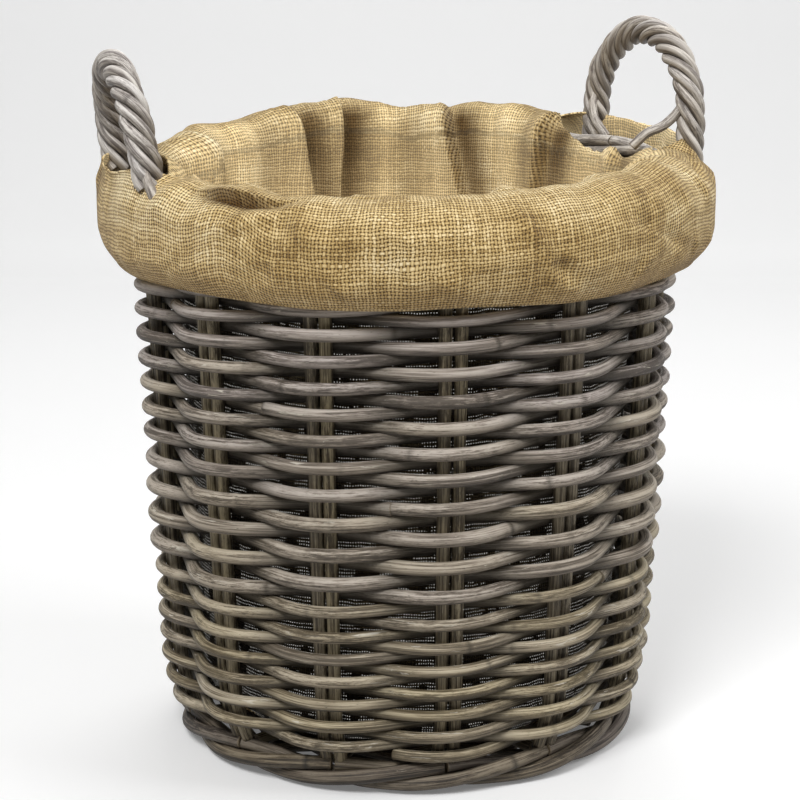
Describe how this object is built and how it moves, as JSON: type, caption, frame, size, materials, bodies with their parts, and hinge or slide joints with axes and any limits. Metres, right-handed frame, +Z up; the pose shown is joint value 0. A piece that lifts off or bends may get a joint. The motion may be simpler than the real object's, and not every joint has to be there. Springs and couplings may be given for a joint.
{
  "type": "wicker log basket",
  "caption": "Round rattan log basket woven on paired stakes, with two twisted cane handles and a lift-out hessian liner folded over the rim.",
  "frame": {"origin": "middle of the foot, on the floor the basket stands on", "axes": "+Z up through the mouth; -Y is the front, with the left handle towards -X and the right handle towards +X and a little to the back"},
  "size_m": [0.478, 0.478, 0.5368],
  "materials": {
    "weaver_rattan": "weathered grey rattan with bark patches",
    "stake_rattan": "dark weathered rattan",
    "border_rattan": "pale grey washed rattan",
    "foot_rattan": "dark brown-grey rattan",
    "handle_rattan": "smooth grey washed rattan",
    "hessian": "open plain-weave jute hessian"
  },
  "bodies": {
    "basket": {"stake_pair_01": "stake_rattan", "stake_pair_02": "stake_rattan", "stake_pair_03": "stake_rattan", "stake_pair_04": "stake_rattan", "stake_pair_05": "stake_rattan", "stake_pair_06": "stake_rattan", "stake_pair_07": "stake_rattan", "stake_pair_08": "stake_rattan", "stake_pair_09": "stake_rattan", "stake_pair_10": "stake_rattan", "stake_pair_11": "stake_rattan", "stake_pair_12": "stake_rattan", "stake_pair_13": "stake_rattan", "weaver_a_rod_1": "weaver_rattan", "weaver_a_rod_2": "weaver_rattan", "weaver_a_rod_3": "weaver_rattan", "weaver_a_rod_4": "weaver_rattan", "weaver_a_rod_5": "weaver_rattan", "weaver_a_rod_6": "weaver_rattan", "weaver_b_rod_1": "weaver_rattan", "weaver_b_rod_2": "weaver_rattan", "weaver_b_rod_3": "weaver_rattan", "weaver_b_rod_4": "weaver_rattan", "weaver_b_rod_5": "weaver_rattan", "weaver_b_rod_6": "weaver_rattan", "weaver_c_rod_1": "weaver_rattan", "weaver_c_rod_2": "weaver_rattan", "weaver_c_rod_3": "weaver_rattan", "weaver_c_rod_4": "weaver_rattan", "weaver_c_rod_5": "weaver_rattan", "weaver_c_rod_6": "weaver_rattan", "rim_border": "border_rattan", "foot_border": "foot_rattan", "base_sticks_lower": "stake_rattan", "base_sticks_upper": "stake_rattan", "base_half_stick": "stake_rattan", "base_weaver_rod_1": "foot_rattan", "base_weaver_rod_2": "foot_rattan", "base_weaver_rod_3": "foot_rattan", "left_handle_core": "handle_rattan", "left_handle_cane_1": "handle_rattan", "left_handle_cane_2": "handle_rattan", "left_handle_cane_3": "handle_rattan", "left_handle_cane_4": "handle_rattan", "left_handle_cane_5": "handle_rattan", "right_handle_core": "handle_rattan", "right_handle_cane_1": "handle_rattan", "right_handle_cane_2": "handle_rattan", "right_handle_cane_3": "handle_rattan", "right_handle_cane_4": "handle_rattan", "right_handle_cane_5": "handle_rattan"},
    "liner": {"liner_side": "hessian", "liner_floor": "hessian", "liner_fold": "hessian", "liner_collar": "hessian", "liner_hem": "hessian"}
  },
  "joints": [
    {"name": "liner_lift", "type": "slide", "parent": "basket", "child": "liner", "axis": [0, 0, 1], "range_m": [0, 0.52]}
  ]
}
